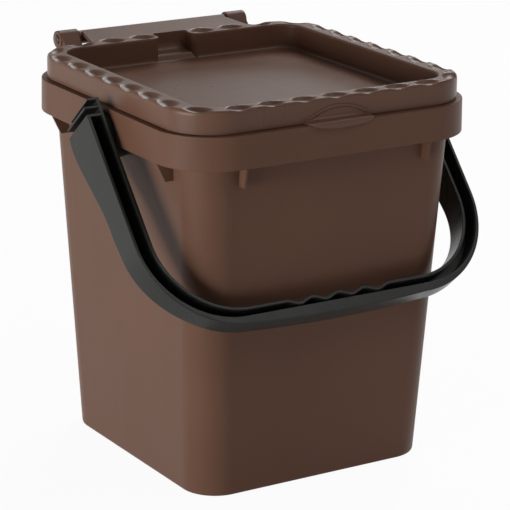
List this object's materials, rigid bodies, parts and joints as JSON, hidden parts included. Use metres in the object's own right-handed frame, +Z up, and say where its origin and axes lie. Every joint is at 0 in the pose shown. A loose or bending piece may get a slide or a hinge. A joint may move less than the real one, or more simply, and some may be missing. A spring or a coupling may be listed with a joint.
{
  "type": "compost caddy",
  "caption": "Square tapered kitchen compost caddy with a deep collar, a hinged recessed lid with a thumb tab and a bail handle resting on its front.",
  "frame": {"origin": "middle of the bucket's foot, on the surface it stands on", "axes": "+Z up, -Y towards the front with the thumb tab and the grip, +Y towards the hinge, X across"},
  "size_m": [0.2808, 0.2783, 0.2886],
  "materials": {
    "brown_plastic": "fine satin moulded surface",
    "brown_lid_plastic": "satin moulded surface",
    "grey_plastic": "satin moulded surface",
    "pin_plastic": "satin moulded surface"
  },
  "bodies": {
    "bucket": {"bucket": "brown_plastic", "hinge_pin_left": "pin_plastic", "hinge_pin_right": "pin_plastic"},
    "lid": {"lid": "brown_lid_plastic"},
    "handle": {"handle": "grey_plastic"}
  },
  "joints": [
    {"name": "lid_hinge", "type": "hinge", "parent": "bucket", "child": "lid", "pos_m": [0, 0.142, 0.282], "axis": [-1, 0, 0], "range_deg": [0, 270]},
    {"name": "handle_swing", "type": "hinge", "parent": "bucket", "child": "handle", "pos_m": [0, -0.0055, 0.247], "axis": [-1, 0, 0], "range_deg": [0, 205]}
  ]
}
